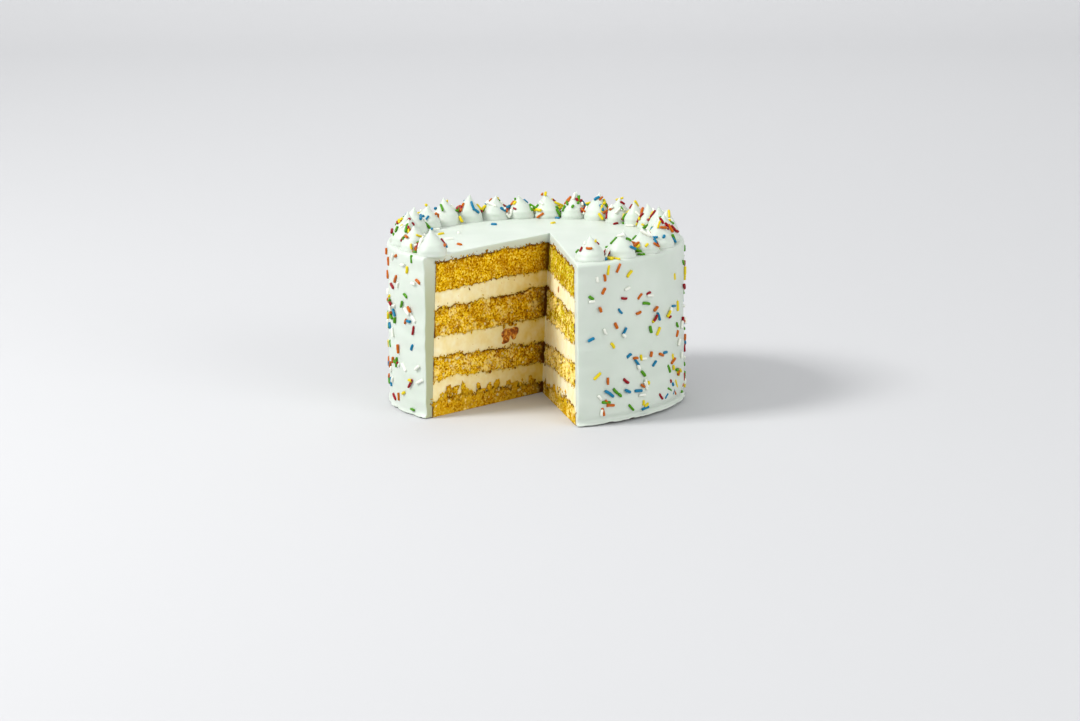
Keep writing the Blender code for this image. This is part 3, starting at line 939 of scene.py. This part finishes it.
def on_side(azimuth, height):
    flat = CAKE_RADIUS * direction(azimuth)
    return Vector((flat.x, flat.y, height))


def side_spot(draw):
    azimuth = draw.uniform(RIGHT_CUT + 2.5, LEFT_CUT - 2.5)
    return on_side(azimuth, draw.uniform(5 * MM, CAKE_HEIGHT - 6 * MM))


def top_spot(draw):
    azimuth = draw.uniform(RIGHT_CUT + 20, LEFT_CUT - 20)
    flat = draw.uniform(0.55, 0.68) * CAKE_RADIUS * direction(azimuth)
    return Vector((flat.x, flat.y, CAKE_HEIGHT))


def stick(draw, spot, outward, length, spin, width, sink):
    """Lays a strand flat against the icing, turned by this spin and sunk by this share of its width."""
    lie = outward.to_track_quat("Z", "X").to_matrix()
    along = lie @ Vector((math.cos(spin), math.sin(spin), 0))
    add_strand(draw, spot + outward * width / 2 * (1 - 2 * sink), along, outward, length, width)


def loose_side_spot(draw):
    azimuth = draw.uniform(RIGHT_CUT + 1.5, LEFT_CUT - 1)
    return on_side(azimuth, draw.uniform(3 * MM, CAKE_HEIGHT - 2 * MM))


def beside(draw, spot):
    """Next to a strand that stuck before, where a few of them landed together."""
    azimuth = math.degrees(math.atan2(spot.x, -spot.y)) % 360 + draw.gauss(0, 1.7)
    height = max(3 * MM, spot.z + draw.gauss(0, 2.2) * MM)
    return on_side(max(RIGHT_CUT + 1.5, min(LEFT_CUT - 1, azimuth)), height)


sizes = random.Random(4)
colours = random.Random(5)
up = Vector((0, 0, 1))
# The strands of these two kinds lie where the CAD has them, because they are drawn in the same way.
for count, draw_spot in ((SIDE_STRANDS, side_spot), (TOP_STRANDS, top_spot)):
    for spot in spread_spots(sizes, count, draw_spot, STRAND_SPACING):
        outward = up if draw_spot is top_spot else Vector((spot.x, spot.y, 0)).normalized()
        length = sizes.uniform(3.2 * MM, 6.2 * MM)
        spin = sizes.uniform(0, math.tau)
        stick(colours, spot, outward, length, spin, STRAND_WIDTH, STRAND_SINK)
loose = spread_spots(colours, LOOSE_STRANDS, loose_side_spot, LOOSE_SPACING)
clumps = spread_spots(colours, CLUMP_COUNT, loose_side_spot, CLUMP_SPACING)
loose += [beside(colours, colours.choice(clumps)) for _ in range(CLUMPED_STRANDS)]
for spot in loose:
    outward = Vector((spot.x, spot.y, 0)).normalized()
    length = max(2, colours.gauss(4.1, 1)) * MM
    width = colours.uniform(1.4, 1.8) * MM
    stick(colours, spot, outward, length, colours.uniform(0, math.tau), width, colours.uniform(-0.1, 0.3))

# The strands on top are dropped on the finished ring: some stick to a flank, others lie across a valley.
surface_points, surface_faces = [], []
for thing in [icing] + dollops:
    start = len(surface_points)
    surface_points += [vertex.co.copy() for vertex in thing.data.vertices]
    surface_faces += [tuple(start + corner for corner in face.vertices) for face in thing.data.polygons]
surface = BVHTree.FromPolygons(surface_points, surface_faces)


def surface_below(x, y):
    """Where a strand that falls straight down here meets the icing or a dollop."""
    return surface.ray_cast(Vector((x, y, DROP_HEIGHT)) + AXIS, -up)


def stick_on_flank(draw, number):
    """A strand stuck to the side of a dollop as it fell."""
    azimuth, radius = dollop_azimuth(number), dollop_radius(number)
    centre = DOLLOP_RING_RADIUS * direction(azimuth)
    offset = direction(draw.uniform(0, 360)) * radius * math.sqrt(draw.uniform(0.02, 0.95))
    hit, normal, _, _ = surface_below(centre.x + offset.x, centre.y + offset.y)
    if hit is None:
        return
    if normal.z < 0:
        normal = -normal
    length = max(1.8, draw.gauss(3.6, 1)) * MM
    width = draw.uniform(1.2, 1.8) * MM
    stick(draw, hit - AXIS, normal, length, draw.uniform(0, math.tau), width, draw.uniform(0.1, 0.35))


def drop_on_ring(draw, azimuth, radius):
    """A strand comes to rest on two points, one on each side of its middle: those that hold it highest."""
    flat = direction(azimuth) * radius
    heading = direction(draw.uniform(0, 360))
    length = max(2.2, draw.gauss(4.4, 1.1)) * MM
    width = draw.uniform(1.25, 1.85) * MM
    offsets = [n / PROBES * length / 2 for n in range(-PROBES, PROBES + 1)]
    heights = []
    for offset in offsets:
        hit = surface_below(flat.x + heading.x * offset, flat.y + heading.y * offset)[0]
        if hit is None:
            return
        heights.append(hit.z)
    best = None
    for a in range(PROBES + 1):
        for b in range(PROBES, 2 * PROBES + 1):
            if a == b:
                continue
            slope = (heights[b] - heights[a]) / (offsets[b] - offsets[a])
            middle = heights[a] - slope * offsets[a]
            if best is None or middle > best[0]:
                best = (middle, slope)
    middle, slope = best
    along = Vector((heading.x, heading.y, slope)).normalized()
    across = Vector((-heading.y, heading.x, 0))
    outward = along.cross(across)
    spot = Vector((flat.x, flat.y, middle)) + outward * width * 0.3
    add_strand(draw, spot, along, outward, length, width)


for number in range(DOLLOP_COUNT):
    for _ in range(FLANK_STRANDS):
        stick_on_flank(colours, number)
for _ in range(DROPPED_STRANDS):
    drop_on_ring(colours, colours.uniform(RIGHT_CUT + 4, LEFT_CUT - 1), colours.triangular(63, 83, 76) * MM)
for number in range(DOLLOP_COUNT - 1):
    valley = (dollop_azimuth(number) + dollop_azimuth(number + 1)) / 2
    for _ in range(colours.choice(VALLEY_STRANDS)):
        drop_on_ring(colours, valley + colours.gauss(0, 1.8), colours.gauss(75, 4) * MM)

# Sugar paste under a confectioner's glaze: strong opaque dyes, smooth, with a small soft highlight.
for colour, (tone, _) in STRAND_COLOURS.items():
    material, tree, shader = new_material(f"{colour}_sugar_paste")
    shader.inputs["Base Color"].default_value = linear(tone)
    shader.inputs["Roughness"].default_value = 0.3
    shader.inputs["Specular IOR Level"].default_value = 0.22
    mesh = closed_mesh(f"strands_{colour}", *strands[colour])
    mesh.materials.append(material)
    piece = put(f"strands_{colour}", mesh)
    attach(piece, "root")


# Crumbs and smears: bits of sponge that the knife carried over the fillings, most of them along the edges
# of a layer. Clods of it lie where the lowest filling was spread too thin and over the larger caramel lump.
# The lower three sponges carry small smears of cream in return.

CRUMB_COUNT = 1000
CLOD_COUNT = 46
SMEAR_COUNT = 110


def scatter(name, draw, count, draw_bit, subdivisions):
    """One piece of so many torn bits. draw_bit gives where a bit lies on a cut face, its size across the
    face in mm, and how far it is browned."""
    points, faces, browned = [], [], []
    shape = bmesh.new()
    bmesh.ops.create_icosphere(shape, subdivisions=subdivisions, radius=1)
    for _ in range(count):
        azimuth, share, height, size, crust = draw_bit(draw)
        outward = cut_normal(azimuth, height)
        spin = Matrix.Rotation(draw.uniform(0, math.tau), 3, "Z")
        lie = outward.to_track_quat("Z", "Y").to_matrix() @ spin
        spot = place(azimuth, share, stack_radius(height), height)
        spot += outward * size * MM * draw.uniform(-0.1, 0.15)
        squash = Vector((draw.uniform(0.5, 1), draw.uniform(0.3, 0.6), draw.uniform(0.15, 0.4))) * size * MM
        start = len(points)
        for vertex in shape.verts:
            rough = 1 + 0.9 * noise.noise(vertex.co * 1.9 + spot / MM)
            points.append(spot + lie @ Vector(vertex.co[i] * squash[i] * rough for i in range(3)))
            browned.append(crust)
        faces += [tuple(start + vertex.index for vertex in face.verts) for face in shape.faces]
    shape.free()
    mesh = closed_mesh(name, points, faces)
    mark(mesh, crust=browned)
    piece = put(name, mesh)
    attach(piece, "root")
    return piece


def loose_crumb(draw):
    """Close to the edge of a sponge, dark where it came off a crust."""
    azimuth = draw.choice((RIGHT_CUT, LEFT_CUT, LEFT_CUT))
    share = draw.uniform(0.02, 1.02)
    number = draw.choice((1, 1, 2, 3, 4, 5, 6, 7, 7))
    height = boundary_height(number, azimuth, min(1, share)) + draw.gauss(0, 0.7) * MM
    dark = draw.random() < (0.6 if number == 7 else 0.25)
    size = min(1.9, 0.5 + draw.expovariate(3))
    return azimuth, share, max(0.5 * MM, height), size, 0.8 if dark else draw.uniform(0, 0.3)


def clod(draw):
    """In the lowest filling, most of them on the left face. Some smaller ones hang from the sponge over the
    larger caramel lump."""
    if draw.random() < 0.3:
        share = draw.uniform(0.26, 0.39)
        height = boundary_height(4, LEFT_CUT, share) - draw.uniform(0, 3) * MM
        return LEFT_CUT, share, height, draw.uniform(0.8, 2), draw.uniform(0, 0.4)
    azimuth = draw.choice((RIGHT_CUT, LEFT_CUT, LEFT_CUT, LEFT_CUT, LEFT_CUT, LEFT_CUT))
    share = draw.uniform(0.1, 0.95)
    height = boundary_height(1, azimuth, share) + draw.triangular(-1, 4.5, 0) * MM
    return azimuth, share, height, draw.uniform(1.2, 4), draw.uniform(0, 0.1)


def cream_smear(draw):
    """On the lower three sponges, near their edges."""
    azimuth = draw.choice((RIGHT_CUT, LEFT_CUT))
    share = draw.uniform(0.08, 0.98)
    number = draw.choice((1, 2, 2, 3, 3, 4, 4, 5, 5))
    inward = 1 if number in (2, 4) else -1
    height = boundary_height(number, azimuth, share) + inward * draw.triangular(-0.5, 7, 1) * MM
    return azimuth, share, max(1.5 * MM, height), draw.uniform(0.6, 1.8), draw.uniform(0.4, 0.8)


bits = random.Random(11)
for name, count, draw_bit, subdivisions, stuff, slot in (
    ("loose_crumbs", CRUMB_COUNT, loose_crumb, 1, sponge, "sponge"),
    ("sponge_clods", CLOD_COUNT, clod, 2, sponge, "sponge"),
    ("cream_smears", SMEAR_COUNT, cream_smear, 2, cream, "cream"),
):
    piece = scatter(name, bits, count, draw_bit, subdivisions)
    piece.data.materials.append(stuff)


# Floor and backdrop: one sheet of pale seamless paper, which turns up behind the cake in a wide curve.

PAPER_FRONT = -6
PAPER_SIDE = 5
PAPER_TOP = 4
SWEEP_FROM = 1.6
SWEEP_RADIUS = 0.6
SWEEP_STEPS = 16
paper, tree, shader = new_material("seamless_paper")
shader.inputs["Base Color"].default_value = linear("#C6C6C7")
shader.inputs["Roughness"].default_value = 0.9
outline = [(PAPER_FRONT, 0), (SWEEP_FROM, 0)]
for step in range(1, SWEEP_STEPS + 1):
    turn = step / SWEEP_STEPS * math.pi / 2
    outline.append((SWEEP_FROM + SWEEP_RADIUS * math.sin(turn), SWEEP_RADIUS * (1 - math.cos(turn))))
outline.append((SWEEP_FROM + SWEEP_RADIUS, PAPER_TOP))
points = [Vector((x, y, z)) for y, z in outline for x in (-PAPER_SIDE, PAPER_SIDE)]
faces = [(n, n + 1, n + 3, n + 2) for n in range(0, len(points) - 2, 2)]
mesh = bpy.data.meshes.new("floor")
mesh.from_pydata(points, [], faces)
mesh.polygons.foreach_set("use_smooth", [True] * len(mesh.polygons))
mesh.materials.append(paper)
floor = put("floor", mesh)


# Light: a large softbox to the left of the camera as the key, a weak fill from the right, one that hangs
# behind the cake and lights the paper, and the pale room all round.

CAKE_MIDDLE = Vector((0, 0, 0.05))
BACKDROP_FOOT = Vector((0, 1.9, 0.1))


def softbox(name, azimuth, elevation, distance, size, watts, aim):
    """A square area light that shines at this spot."""
    light = bpy.data.lights.new(name, "AREA")
    light.shape = "SQUARE"
    light.size = size
    light.energy = watts
    lamp = put(name, light)
    flat = direction(azimuth) * math.cos(math.radians(elevation))
    toward = Vector((flat.x, flat.y, math.sin(math.radians(elevation))))
    lamp.location = aim + toward * distance
    lamp.rotation_euler = toward.to_track_quat("Z", "Y").to_euler()


softbox("key", -72, 42, 2.0, 0.55, 34, CAKE_MIDDLE)
softbox("fill", 46, 20, 2.6, 1.4, 21, CAKE_MIDDLE)
softbox("backdrop", 0, 70, 1.6, 1.2, 9, BACKDROP_FOOT)
world = bpy.data.worlds.new("room")
bpy.context.scene.world = world
world.use_nodes = True
world.node_tree.nodes["Background"].inputs["Color"].default_value = linear("#F2F4F6")
world.node_tree.nodes["Background"].inputs["Strength"].default_value = 0.84
bpy.context.scene.view_settings.view_transform = "Standard"


# Camera: a long lens two metres from the cake, a little above it, as in the photograph.

CAMERA_SPOT = Vector((1.9, -2046.9, 457.8)) * MM
CAMERA_PITCH = 12.05
CAMERA_ROLL = -0.46
SENSOR_WIDTH = 36
FOCAL_LENGTH = 122.04
lens = bpy.data.cameras.new("camera")
lens.sensor_width = SENSOR_WIDTH
lens.sensor_fit = "HORIZONTAL"
lens.lens = FOCAL_LENGTH
camera = put("camera", lens)
camera.location = CAMERA_SPOT + AXIS
tilt = Matrix.Rotation(math.radians(90 - CAMERA_PITCH), 3, "X")
camera.rotation_euler = (tilt @ Matrix.Rotation(math.radians(CAMERA_ROLL), 3, "Z")).to_euler()
bpy.context.scene.camera = camera
